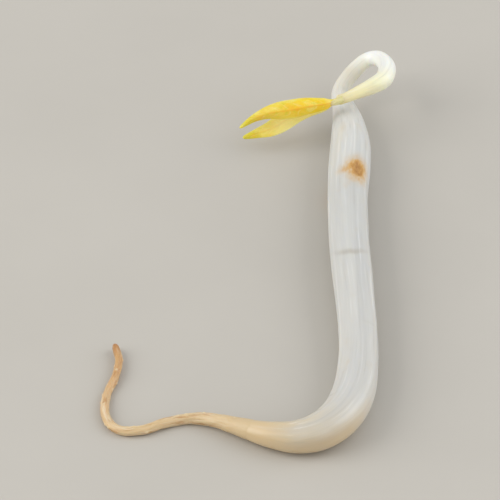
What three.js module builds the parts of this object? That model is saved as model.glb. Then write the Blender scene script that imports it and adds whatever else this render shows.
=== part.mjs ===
// A mung bean sprout, lying on a flat surface.
//
// The plump white stem runs along Y. At its -Y end it bends round towards -X, thins and goes
// over into the tan root. At its +Y end it narrows to a thin neck, which hooks back over the
// stem and holds up a pair of folded yellow leaves.
//
// Millimetres, +Z up. The origin is on the surface, under the middle of the sprout's box.

import * as THREE from "three";
import { mergeVertices } from "three/addons/utils/BufferGeometryUtils.js";

// --- Driving dimensions -------------------------------------------------------------------

const STEM_RADIUS = 1.9; // of the plump stem, where its girth is 1
const STEM_SIDES = 24;
const STEM_RIBS = 6; // low ridges that run along the plump stem
const RIB_HEIGHT = 0.02; // as a share of the radius
const RIB_FADE = 0.25; // share of the body over which the ridges die out below the neck
const STEM_CAPS = { start: 0.005, end: 0.012 }; // rounded-off ends, as shares of the body

const ROOT_SIDES = 12;
const ROOT_CAPS = { start: 0.008, end: 0.03 };

const RINGS_PER_KNOT = 4; // cross-sections between one knot and the next
const CAP_RINGS = 3; // cross-sections that round off each end

const SCAR_KNOT = 11.5; // where the two seed leaves were attached, counted in stem knots
const SCAR_TURN = 0.35; // radians from the stem's top, for the first scar
const SCAR_HEIGHT = 0.16; // how far a scar's pad stands out
const SCAR_LENGTH = 1.0; // along the stem, to where the pad has dropped to about a third
const SCAR_WIDTH = 0.6; // round the stem, to the same height

const LEAF_SIDES = 16;
const LEAF_RINGS = 26;
const LEAF_CAPS = { start: 0.03, end: 0.05 };
const LEAF_THICKNESS = 0.65; // at the midrib
const LEAF_HALF_WIDTH = 0.94; // from midrib to margin, at the widest place
const LEAF_FOLD = 1.28; // radians from a leaf's middle plane to each half of its blade
const LEAF_TURN = 0.2; // radians that both leaves are turned up about their length
const FOLD_ROUNDING = 0.35; // how rounded the fold is, as a share of the half width
const MARGIN_BLUNTNESS = 0.8; // under 1 keeps the blade thick almost out to its margins
const MARGIN_WAVE = 0.07;
const MARGIN_WAVES = 2.5; // from base to tip

// Knots down the middle of each body. A lying knot gives its place on the surface, its girth as
// a share of STEM_RADIUS, and its lift: how far its underside is off the surface. Where the lift
// is below zero the underside is pressed flat, and these are the spots that the sprout rests on.
const LYING_STEM = [
  { x: -0.15, y: -25.35, girth: 0.5, lift: 0.25 },
  { x: 1.95, y: -26.3, girth: 0.66, lift: 0.1 },
  { x: 4.2, y: -26.75, girth: 0.82, lift: -0.1 },
  { x: 6.45, y: -26.4, girth: 0.95, lift: 0.05 },
  { x: 8.4, y: -24.35, girth: 1.01, lift: 0.12 },
  { x: 9.6, y: -20.6, girth: 1.03, lift: -0.12 },
  { x: 10.05, y: -16.0, girth: 0.99, lift: 0.1 },
  { x: 10.0, y: -11.35, girth: 0.97, lift: 0.3 },
  { x: 9.75, y: -6.7, girth: 0.99, lift: 0.45 },
  { x: 9.45, y: -1.9, girth: 1.02, lift: 0.45 },
  { x: 9.25, y: 3.1, girth: 1.01, lift: 0.35 },
  { x: 9.2, y: 8.3, girth: 1.0, lift: 0.15 },
  { x: 9.4, y: 13.0, girth: 1.05, lift: 0.02 },
  { x: 9.5, y: 17.0, girth: 0.99, lift: -0.12 },
  { x: 9.3, y: 20.45, girth: 0.8, lift: 0.1 },
];

// The neck rises off the surface, so its knots give the height of its middle instead.
const HOOKED_NECK = [
  { x: 8.9, y: 22.9, z: 1.75, girth: 0.58 },
  { x: 8.6, y: 24.5, z: 2.1, girth: 0.45 },
  { x: 9.1, y: 25.75, z: 2.6, girth: 0.41 },
  { x: 10.1, y: 26.95, z: 3.2, girth: 0.39 },
  { x: 11.2, y: 27.6, z: 3.8, girth: 0.37 },
  { x: 12.3, y: 27.0, z: 4.4, girth: 0.38 },
  { x: 13.0, y: 25.0, z: 4.9, girth: 0.43 },
  { x: 12.7, y: 22.95, z: 5.1, girth: 0.45 },
  { x: 11.65, y: 21.8, z: 5.1, girth: 0.42 },
  { x: 10.35, y: 21.1, z: 4.9, girth: 0.34 },
  { x: 9.1, y: 20.55, z: 4.65, girth: 0.27 },
  { x: 8.2, y: 20.4, z: 4.4, girth: 0.26 },
];

const LYING_ROOT = [
  { x: -0.24, y: -25.28, girth: 0.48, lift: 0.25 },
  { x: -2.25, y: -24.1, girth: 0.38, lift: 0.25 },
  { x: -4.2, y: -23.15, girth: 0.305, lift: 0.1 },
  { x: -6.1, y: -22.9, girth: 0.265, lift: -0.05 },
  { x: -8.05, y: -23.6, girth: 0.24, lift: 0.05 },
  { x: -9.95, y: -24.55, girth: 0.23, lift: 0.1 },
  { x: -11.8, y: -24.55, girth: 0.225, lift: 0 },
  { x: -13.0, y: -23.4, girth: 0.22, lift: 0 },
  { x: -13.45, y: -21.2, girth: 0.21, lift: 0 },
  { x: -13.15, y: -18.75, girth: 0.2, lift: -0.04 },
  { x: -12.45, y: -16.5, girth: 0.195, lift: 0.1 },
  { x: -12.2, y: -14.1, girth: 0.185, lift: 0.2 },
  { x: -12.6, y: -11.95, girth: 0.17, lift: 0.3 },
];

// The two leaves face each other along a line from the neck's end, the upper one in front,
// and part towards their tips.
const LEAF_PAIR = {
  base: new THREE.Vector3(8.08, 20.34, 4.4),
  tip: new THREE.Vector3(-0.85, 18.4, 2.1),
  up: new THREE.Vector3(0, 0.616, 0.788), // from the lower leaf's tip towards the upper one's
  apart: [0.78, 1.2, 1.5, 1.5, 1.4, 1.1, 0.7, 0.4], // between the midribs, base to tip
};

// Each leaf at equal steps from its base to its tip: half of its width, as a share of
// LEAF_HALF_WIDTH, and how far its midrib lies above the pair's line. side is 1 in front.
const LEAVES = {
  leaf_upper: {
    side: 1,
    outline: [0.4, 0.64, 0.9, 1.0, 0.9, 0.62, 0.42, 0.3],
    midrib: [0, 0.16, 0.4, 0.57, 0.82, 1.0, 0.9, 0.5],
  },
  leaf_lower: {
    side: -1,
    outline: [0.4, 0.62, 0.87, 1.0, 1.0, 0.8, 0.5, 0.3],
    midrib: [0, 0.02, 0.12, 0.06, -0.28, -0.55, -0.5, -0.48],
  },
};

// --- Materials ----------------------------------------------------------------------------

const white = new THREE.MeshStandardMaterial({
  color: 0xe9e6da,
  roughness: 0.38,
  metalness: 0,
});
const tan = new THREE.MeshStandardMaterial({
  color: 0xd9bf94,
  roughness: 0.6,
  metalness: 0,
});
const yellow = new THREE.MeshStandardMaterial({
  color: 0xe8c92a,
  roughness: 0.5,
  metalness: 0,
});

// --- Bodies of round cross-section that follow a line of knots ----------------------------

// A smooth curve through the knots' middles, and one through their radii.
function spineThrough(knots) {
  const middles = knots.map(({ x, y, z, girth, lift }) => {
    const height = z ?? lift + girth * STEM_RADIUS;
    return new THREE.Vector3(x, y, height);
  });
  const radii = knots.map(({ girth }) => new THREE.Vector3(girth * STEM_RADIUS, 0, 0));
  return {
    spans: knots.length - 1,
    middle: new THREE.CatmullRomCurve3(middles, false, "catmullrom"),
    radius: new THREE.CatmullRomCurve3(radii, false, "catmullrom"),
  };
}

// Where the cross-sections stand: share is how far along the body, from 0 to 1, and swell is
// the cross-section's size there, which drops to nothing at both ends.
function sectionsWithRoundEnds(count, caps) {
  const sections = [];
  for (let i = 0; i < CAP_RINGS; i += 1) {
    const turn = (i / CAP_RINGS) * (Math.PI / 2);
    sections.push({ share: caps.start * (1 - Math.cos(turn)), swell: Math.sin(turn) });
  }
  for (let i = 0; i <= count; i += 1) {
    const share = THREE.MathUtils.lerp(caps.start, 1 - caps.end, i / count);
    sections.push({ share, swell: 1 });
  }
  for (let i = CAP_RINGS - 1; i >= 0; i -= 1) {
    const turn = (i / CAP_RINGS) * (Math.PI / 2);
    sections.push({ share: 1 - caps.end * (1 - Math.cos(turn)), swell: Math.sin(turn) });
  }
  return sections;
}

// Gives each section its middle, its direction and a pair of cross directions, carried along
// the curve without twist. Along the lying stretch, up points straight up.
function standOnCurve(sections, curve) {
  const along = curve.getTangent(0);
  const across = new THREE.Vector3().crossVectors(along, new THREE.Vector3(0, 0, 1)).normalize();
  return sections.map((section) => {
    const next = curve.getTangent(section.share);
    across.applyQuaternion(new THREE.Quaternion().setFromUnitVectors(along, next));
    along.copy(next);
    return {
      ...section,
      middle: curve.getPoint(section.share),
      along: along.clone(),
      across: across.clone(),
      up: new THREE.Vector3().crossVectors(across, along),
    };
  });
}

// Turns a closed lathe body whose height counts the sections, then moves every vertex to the
// place that surface gives for its section, its angle round the body and its swell.
function turnedBody(sections, sides, surface) {
  const profile = sections.map(({ swell }, i) => new THREE.Vector2(swell, i));
  const geometry = new THREE.LatheGeometry(profile, sides);
  const position = geometry.getAttribute("position");
  for (let i = 0; i < position.count; i += 1) {
    const x = position.getX(i);
    const z = position.getZ(i);
    const section = sections[Math.round(position.getY(i))];
    const place = surface(section, Math.atan2(x, z), Math.hypot(x, z));
    position.setXYZ(i, place.x, place.y, place.z);
  }
  geometry.deleteAttribute("normal");
  geometry.deleteAttribute("uv");
  const closed = mergeVertices(geometry);
  closed.computeVertexNormals();
  return closed;
}

// A point at a distance and an angle from a section's middle, never below the surface that the
// sprout lies on. The angle is measured from up towards across.
function pointRound(section, angle, distance) {
  const place = section.middle.clone();
  place.addScaledVector(section.across, Math.sin(angle) * distance);
  place.addScaledVector(section.up, Math.cos(angle) * distance);
  place.z = Math.max(place.z, 0);
  return place;
}

// --- Stem and neck ------------------------------------------------------------------------

// Two low pads on opposite sides of the stem, where the seed leaves dropped off.
function scarRelief(section, angle, radius, scarMiddle) {
  const alongStem = section.middle.distanceTo(scarMiddle) / SCAR_LENGTH;
  const turn = Math.abs(Math.sin(angle - SCAR_TURN)) * radius;
  const roundStem = turn / SCAR_WIDTH;
  return SCAR_HEIGHT * Math.exp(-(alongStem ** 2) - roundStem ** 2);
}

function makeStem() {
  const knots = [...LYING_STEM, ...HOOKED_NECK];
  const spine = spineThrough(knots);
  const plumpShare = (LYING_STEM.length - 1) / spine.spans;
  const scarMiddle = spine.middle.getPoint(SCAR_KNOT / spine.spans);
  const rings = sectionsWithRoundEnds(spine.spans * RINGS_PER_KNOT, STEM_CAPS);
  const sections = standOnCurve(rings, spine.middle);
  const geometry = turnedBody(sections, STEM_SIDES, (section, angle, swell) => {
    const radius = spine.radius.getPoint(section.share).x;
    const ribFade = THREE.MathUtils.clamp((plumpShare - section.share) / RIB_FADE, 0, 1);
    const rib = 1 + RIB_HEIGHT * ribFade * Math.cos(STEM_RIBS * angle);
    const relief = scarRelief(section, angle, radius, scarMiddle);
    return pointRound(section, angle, swell * (radius * rib + relief));
  });
  return new THREE.Mesh(geometry, white);
}

// --- Root ---------------------------------------------------------------------------------

function makeRoot() {
  const spine = spineThrough(LYING_ROOT);
  const rings = sectionsWithRoundEnds(spine.spans * RINGS_PER_KNOT, ROOT_CAPS);
  const sections = standOnCurve(rings, spine.middle);
  const geometry = turnedBody(sections, ROOT_SIDES, (section, angle, swell) => {
    const radius = spine.radius.getPoint(section.share).x;
    return pointRound(section, angle, swell * radius);
  });
  return new THREE.Mesh(geometry, tan);
}

// --- Leaves -------------------------------------------------------------------------------

// A function of share, from 0 to 1, that runs smoothly through values at equal steps.
function spread(values) {
  const knots = values.map((value) => new THREE.Vector3(value, 0, 0));
  const curve = new THREE.CatmullRomCurve3(knots, false, "catmullrom");
  return (share) => curve.getPoint(share).x;
}

// Squares off a sine or cosine, so that a cross-section has blunt margins.
function blunt(value) {
  return Math.sign(value) * Math.abs(value) ** MARGIN_BLUNTNESS;
}

// A blade folded along its midrib, with its halves turned back towards the other leaf.
function makeLeaf({ side, outline, midrib }) {
  const { base, tip } = LEAF_PAIR;
  const along = tip.clone().sub(base).normalize();
  const up = LEAF_PAIR.up.clone().projectOnPlane(along).normalize();
  const front = new THREE.Vector3().crossVectors(up, along);
  const opening = front.clone().multiplyScalar(-side * Math.cos(LEAF_TURN));
  opening.addScaledVector(up, Math.sin(LEAF_TURN));
  const across = new THREE.Vector3().crossVectors(opening, along);

  const apart = spread(LEAF_PAIR.apart);
  const halfWidth = spread(outline);
  const above = spread(midrib);
  const sections = sectionsWithRoundEnds(LEAF_RINGS, LEAF_CAPS);

  const geometry = turnedBody(sections, LEAF_SIDES, ({ share }, angle, swell) => {
    const half = halfWidth(share) * LEAF_HALF_WIDTH;
    const reach = blunt(Math.sin(angle)) * swell; // from one margin, -1, to the other, 1
    const depth = (blunt(Math.cos(angle)) * swell * LEAF_THICKNESS) / 2;
    const arch = Math.hypot(reach, FOLD_ROUNDING);

    const place = base.clone().lerp(tip, share);
    place.addScaledVector(front, (side * apart(share)) / 2);
    place.addScaledVector(up, above(share));
    place.addScaledVector(across, reach * half * Math.sin(LEAF_FOLD));
    place.addScaledVector(opening, (arch - FOLD_ROUNDING) * half * Math.cos(LEAF_FOLD));

    const slope = across.clone().multiplyScalar(Math.sin(LEAF_FOLD));
    slope.addScaledVector(opening, (reach / arch) * Math.cos(LEAF_FOLD));
    const normal = slope.cross(along).normalize();
    const wave = MARGIN_WAVE * reach ** 2 * Math.sin(2 * Math.PI * MARGIN_WAVES * share);
    return place.addScaledVector(normal, depth + wave);
  });
  return new THREE.Mesh(geometry, yellow);
}

// --- Assembly -----------------------------------------------------------------------------

const sprout = new THREE.Group();
const pieces = {
  stem: makeStem(),
  root: makeRoot(),
  leaf_upper: makeLeaf(LEAVES.leaf_upper),
  leaf_lower: makeLeaf(LEAVES.leaf_lower),
};
for (const [name, mesh] of Object.entries(pieces)) {
  mesh.name = name;
  sprout.add(mesh);
}

export default sprout;
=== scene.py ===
# A mung bean sprout, lying on a flat surface.
#
# The plump white stem runs along Y. At its -Y end it bends round towards -X, thins and goes
# over into the tan root. At its +Y end it narrows to a thin neck, which hooks back over the
# stem and holds up a pair of folded yellow leaves. Metres, +Z up, in the frame of the packed
# part; the sizes of the sprout's own pieces are given in millimetres.

import math
import random

import bmesh
import bpy
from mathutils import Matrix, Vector, noise


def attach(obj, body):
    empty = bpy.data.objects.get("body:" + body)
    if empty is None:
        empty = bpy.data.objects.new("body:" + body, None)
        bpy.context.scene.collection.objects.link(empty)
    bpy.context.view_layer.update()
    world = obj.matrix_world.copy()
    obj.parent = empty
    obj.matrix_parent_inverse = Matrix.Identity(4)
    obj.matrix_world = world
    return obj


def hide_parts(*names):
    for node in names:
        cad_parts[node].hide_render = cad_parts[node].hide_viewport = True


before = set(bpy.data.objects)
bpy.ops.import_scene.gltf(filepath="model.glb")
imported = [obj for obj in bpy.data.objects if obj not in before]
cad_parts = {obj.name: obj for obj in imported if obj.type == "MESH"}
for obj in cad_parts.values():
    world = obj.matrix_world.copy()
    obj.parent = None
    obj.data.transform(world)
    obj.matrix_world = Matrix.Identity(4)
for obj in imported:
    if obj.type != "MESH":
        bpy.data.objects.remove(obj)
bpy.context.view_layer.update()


# --- Camera -------------------------------------------------------------------------------
# A long lens that looks down on the sprout from its root end, so that near and far parts
# keep their sizes.

LOOK_DOWN = math.radians(38)
LOOKED_AT = Vector((0.0, 0.0, 0.0024))
CAMERA_DISTANCE = 1.3
NEAREST_SEEN = 0.01
LENS = 1000  # in millimetres, as the sensor's width is
SENSOR_WIDTH = 36

camera_data = bpy.data.cameras.new("camera")
camera_data.lens = LENS
camera_data.sensor_width = SENSOR_WIDTH
camera_data.clip_start = NEAREST_SEEN
camera = bpy.data.objects.new("camera", camera_data)
back = Vector((0, -math.cos(LOOK_DOWN), math.sin(LOOK_DOWN)))
camera.location = LOOKED_AT + back * CAMERA_DISTANCE
camera.rotation_euler = (math.pi / 2 - LOOK_DOWN, 0, 0)
bpy.context.scene.collection.objects.link(camera)
bpy.context.scene.camera = camera
bpy.context.scene.view_settings.view_transform = "Standard"


# --- Table top and light ------------------------------------------------------------------
# A plain pale table top with a faint paper-like unevenness. A large soft lamp stands on
# either side of the sprout and a weak one in front, and the room is pale all round.

TABLE_SIZE = 8.0
TABLE_CLOUDS = 60  # steps a metre
WARM_WHITE = (1.0, 0.985, 0.96)
COOL_WHITE = (0.97, 0.98, 1.0)
ROOM_WHITE = (0.96, 0.98, 1.0, 1)
ROOM_STRENGTH = 0.62

# Square lamps, each turned towards the sprout: place, width, power, tone.
LAMPS = {
    "window_lamp": ((-0.48, -0.06, 0.32), 0.5, 2.0, WARM_WHITE),
    "right_lamp": ((0.48, 0.06, 0.3), 0.5, 1.3, COOL_WHITE),
    "front_lamp": ((0.26, -0.5, 0.2), 0.4, 0.45, WARM_WHITE),
}


def paint(code):
    """The colour that a screen shows for a code such as "e9e6da", as a shader takes it."""
    shares = [int(code[i : i + 2], 16) / 255 for i in (0, 2, 4)]
    return [s / 12.92 if s <= 0.04045 else ((s + 0.055) / 1.055) ** 2.4 for s in shares] + [1]


def feed(tree, node, inputs):
    """Gives each of a node's inputs its value, or links it to another node's output."""
    for name, value in inputs.items():
        if isinstance(value, bpy.types.NodeSocket):
            tree.links.new(value, node.inputs[name])
        else:
            node.inputs[name].default_value = value


def add_node(tree, kind, inputs=None, **settings):
    """A new shader node, with its settings made and its inputs fed."""
    node = tree.nodes.new("ShaderNode" + kind)
    for name, value in settings.items():
        setattr(node, name, value)
    feed(tree, node, inputs or {})
    return node


def mixed(tree, share, first, second):
    """The colour between first and second, at share, which is a number or an output."""
    return add_node(tree, "Mix", {0: share, 6: first, 7: second}, data_type="RGBA").outputs[2]


def new_material(name):
    material = bpy.data.materials.new(name)
    material.use_nodes = True
    tree = material.node_tree
    return material, tree, tree.nodes["Principled BSDF"]


def table_material():
    material, tree, shader = new_material("table_top")
    place = add_node(tree, "TexCoord").outputs["Object"]
    clouds = add_node(tree, "TexNoise", {"Vector": place, "Scale": TABLE_CLOUDS, "Detail": 4})
    shade = mixed(tree, clouds.outputs["Fac"], paint("bdb8af"), paint("c5c0b7"))
    feed(tree, shader, {"Base Color": shade, "Roughness": 0.7})
    return material


bm = bmesh.new()
bmesh.ops.create_grid(bm, x_segments=1, y_segments=1, size=TABLE_SIZE / 2)
table_mesh = bpy.data.meshes.new("table_top")
bm.to_mesh(table_mesh)
bm.free()
table_mesh.materials.append(table_material())
table = bpy.data.objects.new("table_top", table_mesh)
bpy.context.scene.collection.objects.link(table)

for name, (lamp_place, width, power, tone) in LAMPS.items():
    lamp = bpy.data.lights.new(name, "AREA")
    lamp.size = width
    lamp.energy = power
    lamp.color = tone
    hung = bpy.data.objects.new(name, lamp)
    hung.location = lamp_place
    hung.rotation_euler = (-Vector(lamp_place)).to_track_quat("-Z", "Y").to_euler()
    bpy.context.scene.collection.objects.link(hung)

room = bpy.data.worlds.new("room")
room.use_nodes = True
background = room.node_tree.nodes["Background"]
feed(room.node_tree, background, {"Color": ROOM_WHITE, "Strength": ROOM_STRENGTH})
bpy.context.scene.world = room


# --- Stem and neck ------------------------------------------------------------------------
# The plump, waxy stem and the thin hooked neck that grew on from it, in one piece. It has
# low ribs, fine lines along it, a few creases and dents, and on opposite sides just below
# the neck the two torn brown scars where the seed leaves dropped off.

MILLIMETRE = 0.001
STEM_RADIUS = 1.9  # of the plump stem, where its girth is 1
STEM_SIDES = 96
STEM_RINGS_PER_KNOT = 24
STEM_CAPS = (0.005, 0.012)  # its rounded-off ends, as shares of its length
CAP_RINGS = 8
HEADING_STEP = 1e-4  # share of the way to either side, over which a heading is taken
MERGED_WITHIN = 1e-3  # how close together doubles lie
STEM_RIBS = 6
RIB_HEIGHT = 0.02  # as a share of the radius
RIB_FADE = 0.25  # share of the length over which the ribs die out below the neck
ROOT_COLLAR = {"length": 0.8, "taper": 0.03}  # where the stem's skin runs in under the root's

# Knots down the middle: x, y, lift of the underside off the table, girth.
LYING_STEM = [
    (-0.15, -25.35, 0.25, 0.5),
    (1.95, -26.3, 0.1, 0.66),
    (4.2, -26.75, -0.1, 0.82),
    (6.45, -26.4, 0.05, 0.95),
    (8.4, -24.35, 0.12, 1.01),
    (9.6, -20.6, -0.12, 1.03),
    (10.05, -16.0, 0.1, 0.99),
    (10.0, -11.35, 0.3, 0.97),
    (9.75, -6.7, 0.45, 0.99),
    (9.45, -1.9, 0.45, 1.02),
    (9.25, 3.1, 0.35, 1.01),
    (9.2, 8.3, 0.15, 1.0),
    (9.4, 13.0, 0.02, 1.05),
    (9.5, 17.0, -0.12, 0.99),
    (9.3, 20.45, 0.1, 0.8),
]

# Knots down the middle of the neck, which is off the table: x, y, z, girth.
HOOKED_NECK = [
    (8.9, 22.9, 1.75, 0.58),
    (8.6, 24.5, 2.1, 0.45),
    (9.1, 25.75, 2.6, 0.41),
    (10.1, 26.95, 3.2, 0.39),
    (11.2, 27.6, 3.8, 0.37),
    (12.3, 27.0, 4.4, 0.38),
    (13.0, 25.0, 4.9, 0.43),
    (12.7, 22.95, 5.1, 0.45),
    (11.65, 21.8, 5.1, 0.42),
    (10.35, 21.1, 4.9, 0.34),
    (9.1, 20.55, 4.65, 0.27),
    (8.2, 20.4, 4.4, 0.26),
]

# Unevenness of the skin, in rows of noise: height, steps a millimetre across and along the
# stem, and how far along the noise the row starts. The fine lines shrink with the girth.
STEM_UNEVENNESS = [(0.035, 0.3, 0.2, 0)]
STEM_LINES = [(0.018, 2.6, 0.14, 0), (0.009, 5.5, 0.4, 40)]

# Shallow creases across the stem: share of the way, turn from the top, reach round, depth,
# width, and how far on their ends run.
CREASES = [
    (0.3405, 0.1, 1.1, 0.045, 0.5, 1.9),
    (0.165, -1.2, 0.8, 0.05, 0.3, 0.2),
    (0.181, -1.5, 0.6, 0.03, 0.25, -0.2),
    (0.128, -1.0, 0.7, 0.04, 0.28, 0.3),
    (0.26, 0.9, 0.7, 0.02, 0.25, 0.4),
]
CREASE_WANDER = {"by": 0.2, "steps": 1.3}  # how far a crease strays, and steps a millimetre
CREASE_FELT = 4  # widths off its line, past which a crease isn't felt
# At this depth a crease gets its full painted shade and tint.
FULL_CREASE = 0.1  # the depth that counts as fully creased

# Shallow dents: share of the way, turn from the top, size, depth.
DENTS = [
    (0.4, -0.5, 1.6, 0.05),
    (0.3, 0.7, 2.2, 0.06),
    (0.23, -0.2, 1.8, 0.045),
    (0.37, 2.4, 2.0, 0.06),
]

# Each scar is a low pad with a tear beside its middle and a smear on the other side.
# "along" and "aside" are places from the middle of the pad.
SCAR_KNOT = 11.5  # how many knots up the stem the scars lie
SCAR_TURN = 0.35  # radians from the stem's top, for the first scar
SCAR_FELT = {"along": 4, "aside": 3}  # past which a scar isn't felt
SCAR_PAD = {"length": 1.0, "width": 0.6, "height": 0.16}
SCAR_TEAR = {"along": -0.2, "aside": 0.48, "length": 1.22, "width": 0.8, "depth": 0.1}
SCAR_SMEAR = {"along": -0.4, "aside": -0.5, "length": 0.8, "width": 1.0}
SCAR_RAGGEDNESS = [(0.25, 2.2, 1.6, 0), (0.06, 8, 6, 0)]
SCAR_GRAIN = [(0.03, 7, 6, 0)]
SMEAR_RAGGED = 0.6  # against the tear, which is fully ragged
SMEAR_STAIN = 0.6  # against the tear, which is fully stained

# Round the tear there are a sloping wall, a raised rim and a stain. Their widths and the
# rim's place are shares of the tear's size.
TEAR_WALL = 0.5
TEAR_STAIN = 1.45
TEAR_RIM = {"height": 0.045, "place": 1.02, "width": 0.18}

# From the cream root end through the white stem to the lemon-cream end of the hook. The
# brightest white, round the top of the hook, is partly a painted highlight.
FLESH_TINTS_AND_HOOK_HIGHLIGHT = [
    (0.0, "cfc0a2"),
    (0.1, "cfc4ae"),
    (0.17, "d1cfc9"),
    (0.42, "cdcdc9"),
    (0.56, "dbdbd8"),
    (0.67, "dcd8ca"),
    (0.75, "fbfbf2"),
    (0.82, "f7f8ef"),
    (0.87, "f1eecd"),
    (0.93, "efe5b4"),
    (1.0, "ecd38f"),
]
ROOT_TAN = "d3ba90"
ROOT_END_SHARE = 0.1  # of the stem's length, where its skin begins to turn
ROOT_END_RAGGED = 0.07


def lying_knots(knots):
    """Knots as (x, y, z, radius), from ones that give a lift and a girth."""
    return [
        Vector((x, y, lift + girth * STEM_RADIUS, girth * STEM_RADIUS))
        for x, y, lift, girth in knots
    ]


def along_knots(knots, share):
    """The middle and the radius at a share of the way along a smooth line through knots."""
    place = min(max(share, 0), 1) * (len(knots) - 1)
    i = min(int(place), len(knots) - 2)
    t = place - i
    here, there = knots[i], knots[i + 1]
    before = knots[i - 1] if i else 2 * here - there
    after = knots[i + 2] if i + 2 < len(knots) else 2 * there - here
    leaving, arriving = (there - before) / 2, (after - here) / 2
    return (
        here * (2 * t**3 - 3 * t**2 + 1)
        + there * (3 * t**2 - 2 * t**3)
        + leaving * (t**3 - 2 * t**2 + t)
        + arriving * (t**3 - t**2)
    )


def rings_along(knots, count, caps):
    """The rings of a body on its knots, with round ends, from its start to its end.

    Each has its share of the way, its swell, which drops to nothing at both ends, its middle,
    its radius, its length along the body so far, and directions across and up.
    """
    start_cap, end_cap = caps
    turns = [i / CAP_RINGS * math.pi / 2 for i in range(CAP_RINGS)]
    stations = [(start_cap * (1 - math.cos(turn)), math.sin(turn)) for turn in turns]
    for i in range(count + 1):
        stations.append((start_cap + (1 - start_cap - end_cap) * i / count, 1))
    for turn in reversed(turns):
        stations.append((1 - end_cap * (1 - math.cos(turn)), math.sin(turn)))

    def heading(share):
        ahead = along_knots(knots, share + HEADING_STEP)
        return (ahead - along_knots(knots, share - HEADING_STEP)).xyz.normalized()

    rings = []
    along = heading(0)
    across = along.cross(Vector((0, 0, 1))).normalized()
    length = 0
    for share, swell in stations:
        turned = along.rotation_difference(heading(share))
        across = (turned @ across).normalized()
        along = heading(share)
        spot = along_knots(knots, share)
        if rings:
            length += (spot.xyz - rings[-1]["middle"]).length
        rings.append(
            {
                "share": share,
                "swell": swell,
                "middle": spot.xyz,
                "radius": spot.w,
                "length": length,
                "across": across,
                "up": across.cross(along),
            }
        )
    return rings


def length_at(rings, share):
    """The length along a body at the ring nearest to a share of the way."""
    return min(rings, key=lambda ring: abs(ring["share"] - share))["length"]


def spun_body(rings, sides, surface):
    """A closed body, spun from a profile whose height counts the rings.

    surface gives each vertex its place, its place on the body made straight, and its mark,
    from its ring, its angle round the ring and its swell.
    """
    bm = bmesh.new()
    profile = [bm.verts.new((ring["swell"], 0, i)) for i, ring in enumerate(rings)]
    edges = [bm.edges.new(pair) for pair in zip(profile, profile[1:])]
    bmesh.ops.spin(
        bm, geom=profile + edges, axis=(0, 0, 1), angle=math.tau, steps=sides, use_merge=True
    )
    bmesh.ops.remove_doubles(bm, verts=bm.verts, dist=MERGED_WITHIN)
    straight = bm.verts.layers.float_vector.new("straight")
    share = bm.verts.layers.float.new("share")
    mark = bm.verts.layers.float.new("mark")
    for vert in bm.verts:
        ring = rings[round(vert.co.z)]
        angle = math.atan2(vert.co.y, vert.co.x)
        swell = math.hypot(vert.co.x, vert.co.y)
        vert.co, vert[straight], vert[mark] = surface(ring, angle, swell)
        vert[share] = ring["share"]
    bm.normal_update()
    bmesh.ops.recalc_face_normals(bm, faces=bm.faces)
    return bm


def straight_place(ring, angle):
    """Where a place on the skin would be if the body were straight and stood on its start."""
    radius = ring["radius"]
    return Vector((math.sin(angle) * radius, math.cos(angle) * radius, ring["length"]))


def round_place(ring, angle, distance):
    """A place off a ring's middle, never under the table. The angle is from up to across."""
    place = ring["middle"] + ring["across"] * (math.sin(angle) * distance)
    place += ring["up"] * (math.cos(angle) * distance)
    place.z = max(place.z, 0)
    return place


def turn_between(angle, other):
    """The angle from other to angle, the short way round."""
    return (angle - other + math.pi) % math.tau - math.pi


def smooth(value):
    """A step from 0 to 1 with soft ends, as value goes from 0 to 1."""
    value = min(max(value, 0), 1)
    return value * value * (3 - 2 * value)


def unevenness(straight, rows):
    """The height that rows of noise give together at a place on the straight body."""
    x, y, z = straight
    height = 0
    for row_height, across, along, start in rows:
        place = Vector((x * across, y * across, z * along + start))
        height += row_height * noise.noise(place)
    return height


def crease_depth(straight, angle):
    """How far the creases sink the skin, and how much painted shade and tint they get."""
    x, y, z = straight
    steps = CREASE_WANDER["steps"]
    sunk = crease_shade_and_tint = 0
    for (_, turn, reach, depth, width, run_on), middle in zip(CREASES, crease_lengths):
        off_turn = turn_between(angle, turn)
        wander = CREASE_WANDER["by"] * noise.noise(Vector((x * steps, y * steps, middle)))
        wander += run_on * (1 - math.cos(off_turn))
        off_line = (z - middle - wander) / width
        if abs(off_line) < CREASE_FELT:
            pinch = depth * math.exp(-(off_line**2) - (off_turn / reach) ** 2)
            sunk += pinch
            crease_shade_and_tint = max(crease_shade_and_tint, pinch / FULL_CREASE)
    return sunk, crease_shade_and_tint


def dent_depth(straight, angle, radius):
    """How far the dents sink the skin."""
    sunk = 0
    for (_, turn, size, depth), middle in zip(DENTS, dent_lengths):
        along = (straight.z - middle) / size
        aside = turn_between(angle, turn) * radius / size
        sunk += depth * math.exp(-(along**2) - aside**2)
    return sunk


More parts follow.
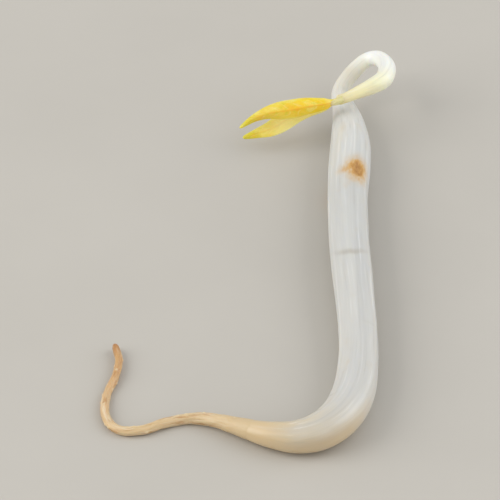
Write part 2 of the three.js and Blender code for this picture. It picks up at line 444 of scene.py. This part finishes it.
def scar_height(straight, angle, radius):
    """How far the scars raise the skin, and how stained they leave it."""
    height = stain = 0
    along = straight.z - scar_length
    for turn in (SCAR_TURN, SCAR_TURN + math.pi):
        aside = turn_between(angle, turn) * radius
        if abs(along) > SCAR_FELT["along"] or abs(aside) > SCAR_FELT["aside"]:
            continue
        pad = (along / SCAR_PAD["length"]) ** 2 + (aside / SCAR_PAD["width"]) ** 2
        height += SCAR_PAD["height"] * math.exp(-pad)

        ragged = unevenness(straight, SCAR_RAGGEDNESS)
        tear_along = (along - SCAR_TEAR["along"]) / SCAR_TEAR["length"]
        tear_aside = (aside - SCAR_TEAR["aside"]) / SCAR_TEAR["width"]
        edge = math.hypot(tear_along, tear_aside) + ragged
        height -= SCAR_TEAR["depth"] * smooth((1 - edge) / TEAR_WALL)
        off_rim = (edge - TEAR_RIM["place"]) / TEAR_RIM["width"]
        height += TEAR_RIM["height"] * math.exp(-(off_rim**2))
        if edge < 1:
            height += unevenness(straight, SCAR_GRAIN)
        stain = max(stain, math.exp(-((edge / TEAR_STAIN) ** 2)))

        smear_along = (along - SCAR_SMEAR["along"]) / SCAR_SMEAR["length"]
        smear_aside = (aside - SCAR_SMEAR["aside"]) / SCAR_SMEAR["width"]
        smear = math.hypot(smear_along, smear_aside) + SMEAR_RAGGED * ragged
        stain = max(stain, SMEAR_STAIN * math.exp(-(smear**2)))
    return height, stain


def stem_surface(ring, angle, swell):
    radius = ring["radius"]
    straight = straight_place(ring, angle)
    rib_fade = min(max((plump_share - ring["share"]) / RIB_FADE, 0), 1)
    distance = radius * (1 + RIB_HEIGHT * rib_fade * math.cos(STEM_RIBS * angle))
    distance += unevenness(straight, STEM_UNEVENNESS)
    distance += unevenness(straight, STEM_LINES) * radius / STEM_RADIUS
    distance *= 1 - ROOT_COLLAR["taper"] * (1 - smooth(straight.z / ROOT_COLLAR["length"]))

    sunk, crease_shade_and_tint = crease_depth(straight, angle)
    raised, stain = scar_height(straight, angle, radius)
    distance += raised - sunk - dent_depth(straight, angle, radius)
    return round_place(ring, angle, swell * distance), straight, stain - crease_shade_and_tint


def body_marks(tree):
    """What a body's vertices carry: their straight place, their share of the way, their mark."""
    straight = add_node(tree, "Attribute", attribute_name="straight").outputs["Vector"]
    share = add_node(tree, "Attribute", attribute_name="share").outputs["Fac"]
    mark = add_node(tree, "Attribute", attribute_name="mark").outputs["Fac"]
    return straight, share, mark


def ramp(tree, value, tints):
    """The colours of the tints, each a (place, colour code), spread over value."""
    node = add_node(tree, "ValToRGB", {"Fac": value})
    stops = node.color_ramp.elements
    while len(stops) < len(tints):
        stops.new(0.5)
    for stop, (place, code) in zip(stops, tints):
        stop.position = place
        stop.color = paint(code)
    return node.outputs["Color"]


def streaks(tree, vector, across, along, detail):
    """Noise that is drawn out lengthwise: its steps a millimetre across and along."""
    drawn = add_node(tree, "Mapping", {"Vector": vector, "Scale": (across, across, along)})
    inputs = {"Vector": drawn.outputs[0], "Scale": 1, "Detail": detail, "Roughness": 0.55}
    return add_node(tree, "TexNoise", inputs).outputs["Fac"]


def between(tree, value, low, high, start=0, end=1):
    """value, spread so that low gives start and high gives end, and kept between them."""
    inputs = {"Value": value, "From Min": low, "From Max": high, "To Min": start, "To Max": end}
    return add_node(tree, "MapRange", inputs, interpolation_type="SMOOTHSTEP").outputs[0]


def reckoned(tree, operation, *values):
    """What an operation makes of its values, each a number or an output."""
    return add_node(tree, "Math", dict(enumerate(values)), operation=operation).outputs[0]


def layered(tree, ground, *layers):
    """A ground colour with tints laid over it, one after the other.

    Each layer gives a value, the low and the high between which the tint sets in, its share
    of the colour at the high, and its colour code.
    """
    for value, low, high, strength, code in layers:
        ground = mixed(tree, between(tree, value, low, high, 0, strength), ground, paint(code))
    return ground


def bumps(tree, height, strength, distance):
    inputs = {"Height": height, "Strength": strength, "Distance": distance}
    return add_node(tree, "Bump", inputs).outputs[0]


def stem_material():
    material, tree, shader = new_material("stem_flesh")
    straight, share, mark = body_marks(tree)

    # Broad grey and thin white and dark streaks run along it, with faint tan blotches.
    broad = streaks(tree, straight, 0.7, 0.05, 3)
    thin = streaks(tree, straight, 3.2, 0.09, 5)
    blotches = streaks(tree, straight, 0.5, 0.22, 4)
    # The ramp's brightest white, round the top of the hook, is partly a painted highlight.
    flesh = layered(
        tree,
        ramp(tree, share, FLESH_TINTS_AND_HOOK_HIGHLIGHT),
        (broad, 0.45, 0.75, 0.5, "c3c3c2"),
        (thin, 0.52, 0.8, 0.5, "f4f3f1"),
        (thin, 0.48, 0.25, 0.4, "b3b1ab"),
        (blotches, 0.58, 0.78, 0.35, "d0bd9c"),
    )

    # Low on the outer side of the bend, near the root end, the skin is beige: partly the tan of
    # the root end, partly painted shade and warm reflected light on its underside.
    outwards, upwards, _ = add_node(tree, "SeparateXYZ", {"Vector": straight}).outputs
    low = between(tree, reckoned(tree, "SUBTRACT", outwards, upwards), 0.2, 2.3, 0, 0.75)
    near_root = between(tree, share, 0.21, 0.13)
    flesh = mixed(tree, reckoned(tree, "MULTIPLY", low, near_root), flesh, paint("cbb38b"))

    # At the root end it turns tan, in streaks that run up into the white.
    ragged = streaks(tree, straight, 2.2, 0.22, 4)
    ragged_share = reckoned(tree, "MULTIPLY_ADD", ragged, ROOT_END_RAGGED, share)
    still_white = ROOT_END_SHARE + ROOT_END_RAGGED / 2
    turned = between(tree, ragged_share, still_white, ROOT_END_RAGGED / 2)
    flesh = mixed(tree, turned, flesh, paint(ROOT_TAN))

    # The creases are a little darker, which is painted shade with a faint tan-grey tint. The
    # scars have tan skin round them, orange-brown torn flesh, and darker shreds in the middle.
    grain = between(tree, streaks(tree, straight, 5, 2.2, 4), 0.3, 0.7, 0.85, 1.12)
    stained = reckoned(tree, "MULTIPLY", mark, grain)
    flesh = layered(
        tree,
        flesh,
        (mark, -0.05, -0.6, 0.5, "a3967f"),
        (stained, 0.02, 0.5, 0.75, "d2b892"),
        (stained, 0.36, 0.78, 0.9, "ca9848"),
        (stained, 0.66, 1.08, 0.85, "a8722e"),
    )

    gloss = between(tree, thin, 0.3, 0.7, 0.28, 0.42)
    torn = between(tree, mark, 0.35, 0.7, 0, 0.35)
    finish = {
        "Base Color": flesh,
        "Roughness": reckoned(tree, "ADD", gloss, torn),
        # Less light goes into the flesh next to the root, or the seam shows as a dark line.
        "Subsurface Weight": between(tree, share, 0.005, 0.04, 0, 0.8),
        "Subsurface Radius": (1.0, 0.87, 0.68),
        "Subsurface Scale": 0.0015,
        "Coat Weight": 0.3,
        "Coat Roughness": 0.2,
        "Normal": bumps(tree, streaks(tree, straight, 4.5, 0.12, 5), 0.5, 0.00003),
    }
    feed(tree, shader, finish)
    return material


def finish_piece(name, bm, material, node=None):
    """Turns a mesh in millimetres into a smooth piece, which stands for its CAD node if any."""
    bmesh.ops.scale(bm, vec=(MILLIMETRE, MILLIMETRE, MILLIMETRE), verts=bm.verts)
    for face in bm.faces:
        face.smooth = True
    mesh = bpy.data.meshes.new(name)
    bm.to_mesh(mesh)
    bm.free()
    mesh.materials.append(material)
    piece = bpy.data.objects.new(name, mesh)
    bpy.context.scene.collection.objects.link(piece)
    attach(piece, "root")
    if node:
        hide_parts(node)


stem_knots = lying_knots(LYING_STEM) + [
    Vector((x, y, z, girth * STEM_RADIUS)) for x, y, z, girth in HOOKED_NECK
]
stem_spans = len(stem_knots) - 1
stem_rings = rings_along(stem_knots, stem_spans * STEM_RINGS_PER_KNOT, STEM_CAPS)
plump_share = (len(LYING_STEM) - 1) / stem_spans
crease_lengths = [length_at(stem_rings, share) for share, *_ in CREASES]
dent_lengths = [length_at(stem_rings, share) for share, *_ in DENTS]
scar_length = length_at(stem_rings, SCAR_KNOT / stem_spans)

bm = spun_body(stem_rings, STEM_SIDES, stem_surface)
finish_piece("stem_and_neck", bm, stem_material(), "stem")


# --- Root ---------------------------------------------------------------------------------
# The thin tan root that the stem tapers into. It is wrinkled along its length, kinked, and
# set with small knobs where side roots were about to grow.

ROOT_SIDES = 48
ROOT_RINGS_PER_KNOT = 44
ROOT_CAPS = (0.004, 0.03)
ROOT_TUCK = Vector((1.1, -25.95, 1.25, 0.98))  # the root's start, inside the stem

# Knots down the middle, with a lift and a girth as the stem's have.
LYING_ROOT = [
    (-0.24, -25.28, 0.25, 0.505),
    (-2.25, -24.1, 0.25, 0.38),
    (-4.2, -23.15, 0.1, 0.305),
    (-6.1, -22.9, -0.05, 0.265),
    (-8.05, -23.6, 0.05, 0.24),
    (-9.95, -24.55, 0.1, 0.23),
    (-11.8, -24.55, 0, 0.225),
    (-13.0, -23.4, 0, 0.22),
    (-13.45, -21.2, 0, 0.21),
    (-13.15, -18.75, -0.04, 0.2),
    (-12.45, -16.5, 0.1, 0.195),
    (-12.2, -14.1, 0.2, 0.185),
    (-12.6, -11.95, 0.3, 0.17),
]

# Unevenness of the skin, in rows of noise. The swellings are shares of the radius, and the
# seam is smooth for its length, past which the rows set in.
ROOT_SWELLINGS = [(0.1, 0.6, 0.7, 0)]
ROOT_WRINKLES = [(0.06, 5, 0.45, 0), (0.03, 11, 1.2, 30), (0.014, 7, 7, 0)]
ROOT_SEAM = {"length": 1.2, "sets_in_over": 2.5}

KNOBS = 26
KNOB_ROWS = 4
KNOB_STRETCH = {"start": 0.1, "length": 0.85}  # as shares of the root
KNOB_STRAY = {"steps": 0.3, "turn": 0.25}  # off an even row, each way
KNOB_SIZES = (0.1, 0.17)  # from the smallest to the largest
KNOB_HEIGHTS = (0.05, 0.12)
KNOB_LENGTH = 1.3  # times the knob's size
KNOB_FELT = 3  # lengths off its middle, past which a knob isn't felt

SKIN_TINTS = [
    (0.0, ROOT_TAN),
    (0.1, ROOT_TAN),
    (0.25, "d6bd93"),
    (0.5, "d6bb8f"),
    (0.75, "d3b183"),
    (0.93, "c79c66"),
    (1.0, "a9743f"),
]


def root_surface(ring, angle, swell):
    radius = ring["radius"]
    straight = straight_place(ring, angle)
    uneven = smooth((straight.z - ROOT_SEAM["length"]) / ROOT_SEAM["sets_in_over"])
    distance = radius * (1 + uneven * unevenness(straight, ROOT_SWELLINGS))
    distance += uneven * unevenness(straight, ROOT_WRINKLES)
    torn = 0
    for middle, turn, size, height in knobs:
        along_knob = (straight.z - middle) / (size * KNOB_LENGTH)
        if abs(along_knob) < KNOB_FELT:
            round_knob = turn_between(angle, turn) * radius / size
            swelling = math.exp(-(along_knob**2) - round_knob**2)
            distance += height * swelling
            torn = max(torn, swelling)
    return round_place(ring, angle, swell * distance), straight, torn


def root_material():
    material, tree, shader = new_material("root_skin")
    straight, share, mark = body_marks(tree)

    # Pale and rusty streaks set in past the seam, and the knobs are pale.
    past_seam = between(tree, share, 0.07, 0.25)
    thin = streaks(tree, straight, 4.0, 0.3, 5)
    pale = reckoned(tree, "MULTIPLY", between(tree, thin, 0.5, 0.75, 0, 0.6), past_seam)
    rust = streaks(tree, straight, 2.6, 0.5, 5)
    rusty = reckoned(tree, "MULTIPLY", between(tree, rust, 0.5, 0.72, 0, 0.75), past_seam)
    skin = mixed(tree, pale, ramp(tree, share, SKIN_TINTS), paint("eee2ca"))
    skin = mixed(tree, rusty, skin, paint("b07c47"))

    finish = {
        "Base Color": layered(tree, skin, (mark, 0.2, 0.9, 0.5, "e5d3ae")),
        "Roughness": between(tree, thin, 0.3, 0.7, 0.32, 0.5),
        "Subsurface Weight": between(tree, share, 0.08, 0.14, 0, 0.5),
        "Subsurface Radius": (1.0, 0.8, 0.58),
        "Subsurface Scale": 0.0008,
        "Coat Weight": 0.2,
        "Coat Roughness": 0.2,
        "Normal": bumps(tree, streaks(tree, straight, 9, 1.1, 5), 0.8, 0.00007),
    }
    feed(tree, shader, finish)
    return material


root_knots = [ROOT_TUCK] + lying_knots(LYING_ROOT)
root_spans = len(root_knots) - 1
root_rings = rings_along(root_knots, root_spans * ROOT_RINGS_PER_KNOT, ROOT_CAPS)

random.seed(7)
knobs = []
for i in range(KNOBS):
    steps_on = i + random.uniform(-KNOB_STRAY["steps"], KNOB_STRAY["steps"])
    knob_share = KNOB_STRETCH["start"] + KNOB_STRETCH["length"] * steps_on / KNOBS
    row = random.randrange(KNOB_ROWS)
    turn = row * math.tau / KNOB_ROWS + random.uniform(-KNOB_STRAY["turn"], KNOB_STRAY["turn"])
    size = random.uniform(*KNOB_SIZES)
    height = random.uniform(*KNOB_HEIGHTS)
    knobs.append((length_at(root_rings, knob_share), turn, size, height))

bm = spun_body(root_rings, ROOT_SIDES, root_surface)
finish_piece("root_thread", bm, root_material(), "root")


# --- Leaves -------------------------------------------------------------------------------
# The first two leaves, each still folded along its midrib and facing the other, like two
# cupped hands. They are thin, soft and yellow, paler inside, and part towards their tips.

LEAF_SIDES = 72
LEAF_RINGS = 170
LEAF_CAPS = (0.02, 0.03)
LEAF_HALF_WIDTH = 0.94  # from midrib to margin, at the widest place
LEAF_FOLD = 1.28  # radians from a leaf's middle plane to each half of its blade
LEAF_TURN = 0.2  # radians that both leaves are turned up about their length
FOLD_ROUNDING = 0.35  # how rounded the fold is, as a share of the half width
SOLID_THICKNESS = 0.65  # of the plain leaf, whose outer face the thin blade keeps to
BLADE_THICKNESS = 0.34
MARGIN_THINNING = 0.5  # as a share of the thickness
LEAF_BASE = Vector((8.08, 20.34, 4.4))
LEAF_TIP = Vector((-0.85, 18.4, 2.1))
LEAF_UP = Vector((0, 0.616, 0.788))
LEAF_LENGTH = (LEAF_TIP - LEAF_BASE).length

# The part of a leaf inside the neck: its length, as a share of the leaf's, its radius, how
# far it stands from the middle of the two, the share of the leaf over which it opens into
# the blade, and how far on that opening is at the leaf's base.
STALK = {"share": 0.1, "radius": 0.24, "aside": 0.17, "opens_over": 0.12, "open": 0.08}

# At equal steps from base to tip: how far apart the two midribs are, half of each leaf's
# width, as a share of the widest, and how far its midrib lies above the line to its tip.
MIDRIBS_APART = [0.78, 1.2, 1.5, 1.5, 1.4, 1.1, 0.7, 0.4]
LEAVES = {
    "leaf_upper": {
        "side": 1,
        "outline": [0.3, 0.64, 0.9, 1.0, 0.9, 0.6, 0.32, 0.1],
        "midrib": [0.0, 0.16, 0.4, 0.57, 0.82, 1.0, 0.9, 0.5],
    },
    "leaf_lower": {
        "side": -1,
        "outline": [0.3, 0.62, 0.87, 1.0, 1.0, 0.8, 0.44, 0.12],
        "midrib": [0.0, 0.02, 0.12, 0.06, -0.28, -0.55, -0.5, -0.48],
    },
}

# The margins wave up and down from base to tip, and are crinkled. Steps are those along the
# whole leaf, and across from the midrib to the margin.
MARGIN_WAVE = {"height": 0.07, "waves": 2.5}
MARGIN_CRINKLE = {"height": 0.05, "steps_along": 14, "steps_across": 2}

# The midrib stands out, and the side veins lie in low furrows that slant to the tip. Widths
# are shares of the half width for the midrib, and of their spacing for the veins.
MIDRIB = {"height": 0.06, "width": 0.1, "thinning": 0.6}
SIDE_VEINS = {"count": 7, "depth": 0.022, "width": 0.1, "slant": 1.1, "bend": 0.8}
VEIN_WANDER = {"by": 0.5, "steps_along": 6, "steps_across": 1.5}
VEINS_SET_IN = 0.15  # share of the leaf over which they do
VEIN_MARK = 0.7  # how strongly the veins are tinted, against the midrib

# How far along its noise each leaf starts, one way or the other, so that the two differ.
CRINKLE_START = 5
VEIN_START = 9
TINT_START = 20

BLADE_TINTS = [
    (0.0, "eee6a8"),
    (0.1, "f3e174"),
    (0.2, "f2cc14"),
    (0.4, "f4cd28"),
    (0.6, "f1d148"),
    (0.8, "e8cc48"),
    (0.93, "d6c828"),
    (1.0, "ccc83c"),
]


def spread(values):
    """A function of share, that runs smoothly through values at equal steps."""
    knots = [Vector((0, 0, 0, value)) for value in values]
    return lambda share: along_knots(knots, share).w


def straight_rings(length, count, caps):
    """The rings of a body that is straight and has a radius of 1 until it is shaped."""
    return rings_along([Vector((0, 0, 0, 1)), Vector((0, 0, length, 1))], count, caps)


apart = spread(MIDRIBS_APART)
leaf_along = (LEAF_TIP - LEAF_BASE).normalized()
leaf_up = (LEAF_UP - LEAF_UP.project(leaf_along)).normalized()
leaf_front = leaf_up.cross(leaf_along)


def leaf_relief(share, reach, side):
    """How strongly the midrib and the side veins show at a place on a leaf."""
    midrib = math.exp(-((reach / MIDRIB["width"]) ** 2)) * (1 - MIDRIB["thinning"] * share)
    along, across = share * VEIN_WANDER["steps_along"], reach * VEIN_WANDER["steps_across"]
    vein_place = share * (SIDE_VEINS["count"] + 1)
    vein_place -= abs(reach) ** SIDE_VEINS["bend"] * SIDE_VEINS["slant"]
    vein_place += VEIN_WANDER["by"] * noise.noise(Vector((along, across, VEIN_START * side)))
    off_vein = (vein_place % 1 - 0.5) / SIDE_VEINS["width"]
    vein = math.exp(-(off_vein**2)) * (1 - abs(reach) ** 2)
    vein *= min(abs(reach) / MIDRIB["width"], 1) * smooth(share / VEINS_SET_IN)
    return midrib, vein


def margin_lift(share, reach, side):
    """How far the blade's margins wave and crinkle off its face."""
    wave = MARGIN_WAVE["height"] * math.sin(math.tau * MARGIN_WAVE["waves"] * share)
    along, across = share * MARGIN_CRINKLE["steps_along"], reach * MARGIN_CRINKLE["steps_across"]
    crinkled = noise.noise(Vector((along, across, CRINKLE_START * side)))
    return (wave + MARGIN_CRINKLE["height"] * crinkled) * reach**2


def leaf_surface(side, outline, midrib):
    """The surface of a leaf that lies in front, where side is 1, or behind, where it is -1."""
    half_width, above = spread(outline), spread(midrib)
    opening = leaf_front * (-side * math.cos(LEAF_TURN)) + leaf_up * math.sin(LEAF_TURN)
    across = opening.cross(leaf_along)

    def surface(ring, angle, swell):
        share = ring["share"] * (1 + STALK["share"]) - STALK["share"]
        middle = LEAF_BASE.lerp(LEAF_TIP, share)
        half = half_width(share) * LEAF_HALF_WIDTH
        reach = math.sin(angle) * swell
        outer = math.cos(angle) * swell

        # Half-way through the plain leaf's thickness, on its rounded fold.
        arch = math.hypot(reach, FOLD_ROUNDING)
        place = middle + leaf_front * (side * apart(share) / 2) + leaf_up * above(share)
        place += across * (reach * half * math.sin(LEAF_FOLD))
        place += opening * ((arch - FOLD_ROUNDING) * half * math.cos(LEAF_FOLD))
        slope = across * math.sin(LEAF_FOLD) + opening * (reach / arch * math.cos(LEAF_FOLD))
        normal = slope.cross(leaf_along).normalized()

        thickness = BLADE_THICKNESS * (1 - MARGIN_THINNING * reach**2)
        lift = outer * thickness / 2 + (SOLID_THICKNESS - BLADE_THICKNESS) / 2 * swell
        lift += margin_lift(share, reach, side)
        rib, vein = leaf_relief(share, reach, side)
        relief = MIDRIB["height"] * rib - SIDE_VEINS["depth"] * vein
        lift += relief * swell * (1 if outer > 0 else -1)
        place += normal * lift

        # Its stalk is round, and stands beside the other leaf's inside the neck's end.
        stalk = middle + leaf_front * (side * STALK["aside"])
        stalk += across * (reach * STALK["radius"]) - opening * (outer * STALK["radius"])
        opened = smooth(share / STALK["opens_over"] + STALK["open"])
        straight = Vector((reach * half, outer, share * LEAF_LENGTH + TINT_START * side))
        return stalk.lerp(place, opened), straight, rib - VEIN_MARK * vein

    return surface


def leaf_material():
    material, tree, shader = new_material("leaf_blade")
    straight, share, mark = body_marks(tree)
    sideways, outwards, _ = add_node(tree, "SeparateXYZ", {"Vector": straight}).outputs

    # Pale and deep yellow clouds, an orange midrib, pale veins, green flecks, pale margins.
    clouds = streaks(tree, straight, 1.3, 0.7, 4)
    grain = streaks(tree, straight, 4, 2.2, 4)
    off_midrib = reckoned(tree, "ABSOLUTE", sideways)
    blade = layered(
        tree,
        ramp(tree, share, BLADE_TINTS),
        (clouds, 0.5, 0.7, 0.6, "f8e888"),
        (clouds, 0.48, 0.3, 0.6, "f4b81a"),
        (mark, 0.05, 0.8, 0.6, "f3ab1e"),
        (mark, -0.1, -0.65, 0.25, "fbf3b4"),
        (grain, 0.5, 0.68, 0.5, "d6cb22"),
        (off_midrib, 0.6, 1.1, 0.5, "f8efae"),
    )

    # The face inside the fold is paler, apart from the tip.
    inner_face = between(tree, outwards, 0.2, -0.2, 0, 0.6)
    off_tip = between(tree, share, 0.86, 0.6)
    pale = reckoned(tree, "MULTIPLY", inner_face, off_tip)

    finish = {
        "Base Color": mixed(tree, pale, blade, paint("f2e6a2")),
        "Roughness": between(tree, clouds, 0.3, 0.7, 0.38, 0.55),
        "Subsurface Weight": 0.5,
        "Subsurface Radius": (1.0, 0.85, 0.25),
        "Subsurface Scale": 0.0006,
        "Normal": bumps(tree, grain, 0.4, 0.00004),
    }
    feed(tree, shader, finish)
    return material


leaf_skin = leaf_material()
leaf_rings = straight_rings(LEAF_LENGTH, LEAF_RINGS, LEAF_CAPS)
for name, leaf in LEAVES.items():
    bm = spun_body(leaf_rings, LEAF_SIDES, leaf_surface(**leaf))
    finish_piece(name + "_blade", bm, leaf_skin, name)


# --- Leaf scales --------------------------------------------------------------------------
# Two small pointed scales, pale with a peach tip, that clasp the leaf stalks where these
# grow out of the neck's end, one in front and one behind.

SCALE_SIDES = 32
SCALE_RINGS = 30
SCALE_CAPS = (0.08, 0.1)
SCALE_START = -0.085  # as a share of the leaf
SCALE_END = 0.085
SCALE_LENGTH = 1.5
SCALE_HALF_WIDTH = 0.42
SCALE_TIP_HALF_WIDTH = 0.02
SCALE_TAPER = 1.6  # the power of the share of the way, by which it narrows
SCALE_THICKNESS = 0.11
TIP_THINNING = 0.4  # as a share of the thickness
SCALE_TURN = math.pi / 2 + 0.25  # radians from up, round the stalks, to its middle
OFF_STALKS = 0.47  # from the middle of the two stalks
SCALE_BELLY = 0.05  # how far it bulges half-way
SCALE_FLARE = 0.1  # how far its tip stands off
SCALE_KEEL = {"height": 0.03, "width": 0.2}
SCALES = {"leaf_scale_front": 1, "leaf_scale_back": -1}  # the side that each lies on


def scale_surface(side):
    """The surface of a scale that lies in front, where side is 1, or behind, where it is -1."""

    def surface(ring, angle, swell):
        share = ring["share"]
        middle = LEAF_BASE.lerp(LEAF_TIP, SCALE_START + (SCALE_END - SCALE_START) * share)
        half = SCALE_HALF_WIDTH * (1 - share**SCALE_TAPER) + SCALE_TIP_HALF_WIDTH
        reach = math.sin(angle) * swell
        outer = math.cos(angle) * swell
        off_middle = OFF_STALKS
        off_middle += SCALE_BELLY * math.sin(math.pi * share) + SCALE_FLARE * share**3
        off_middle += outer * SCALE_THICKNESS / 2 * (1 - TIP_THINNING * share)
        keel = math.exp(-((reach / SCALE_KEEL["width"]) ** 2)) * swell
        off_middle += SCALE_KEEL["height"] * keel
        turn = side * SCALE_TURN + reach * half / OFF_STALKS
        place = middle + leaf_up * (math.cos(turn) * off_middle)
        place += leaf_front * (math.sin(turn) * off_middle)
        return place, Vector((reach * half, 0, share * SCALE_LENGTH)), share**2

    return surface


def scale_material():
    material, tree, shader = new_material("leaf_scale")
    straight, _, mark = body_marks(tree)

    # Finely veined, and peach towards the tip.
    veined = streaks(tree, straight, 9, 1.5, 4)
    tint = layered(
        tree,
        paint("e9dfa6"),
        (veined, 0.35, 0.65, 1, "dccf8d"),
        (mark, 0.25, 1.0, 0.85, "d9a878"),
    )

    finish = {
        "Base Color": tint,
        "Roughness": between(tree, veined, 0.3, 0.7, 0.4, 0.55),
        "Subsurface Weight": 0.3,
        "Subsurface Radius": (1.0, 0.8, 0.4),
        "Subsurface Scale": 0.0004,
    }
    feed(tree, shader, finish)
    return material


scale_skin = scale_material()
scale_rings = straight_rings(SCALE_LENGTH, SCALE_RINGS, SCALE_CAPS)
for name, side in SCALES.items():
    bm = spun_body(scale_rings, SCALE_SIDES, scale_surface(side))
    finish_piece(name, bm, scale_skin)
